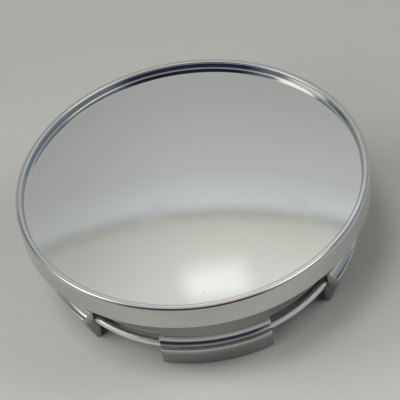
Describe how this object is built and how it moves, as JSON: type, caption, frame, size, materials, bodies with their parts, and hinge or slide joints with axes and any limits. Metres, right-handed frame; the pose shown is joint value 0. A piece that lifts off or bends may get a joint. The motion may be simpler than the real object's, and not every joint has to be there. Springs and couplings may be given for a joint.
{
  "type": "wheel centre cap",
  "caption": "Round snap-in centre cap for a road wheel: flat recessed face in a raised lip, with barbed clips below that an open spring wire ring presses outwards.",
  "frame": {"origin": "on the cap's axis, in the plane of the clip tips that it stands on", "axes": "+Z along the cap's axis, out of the face; -Y through the middle of one clip; +X to the right when that clip is seen from in front"},
  "size_m": [0.07, 0.07, 0.0217],
  "materials": {
    "cap_body": "polished",
    "spring_wire": "bright drawn wire"
  },
  "bodies": {
    "root": {"cap_body": "cap_body", "spring_wire": "spring_wire"}
  },
  "joints": []
}
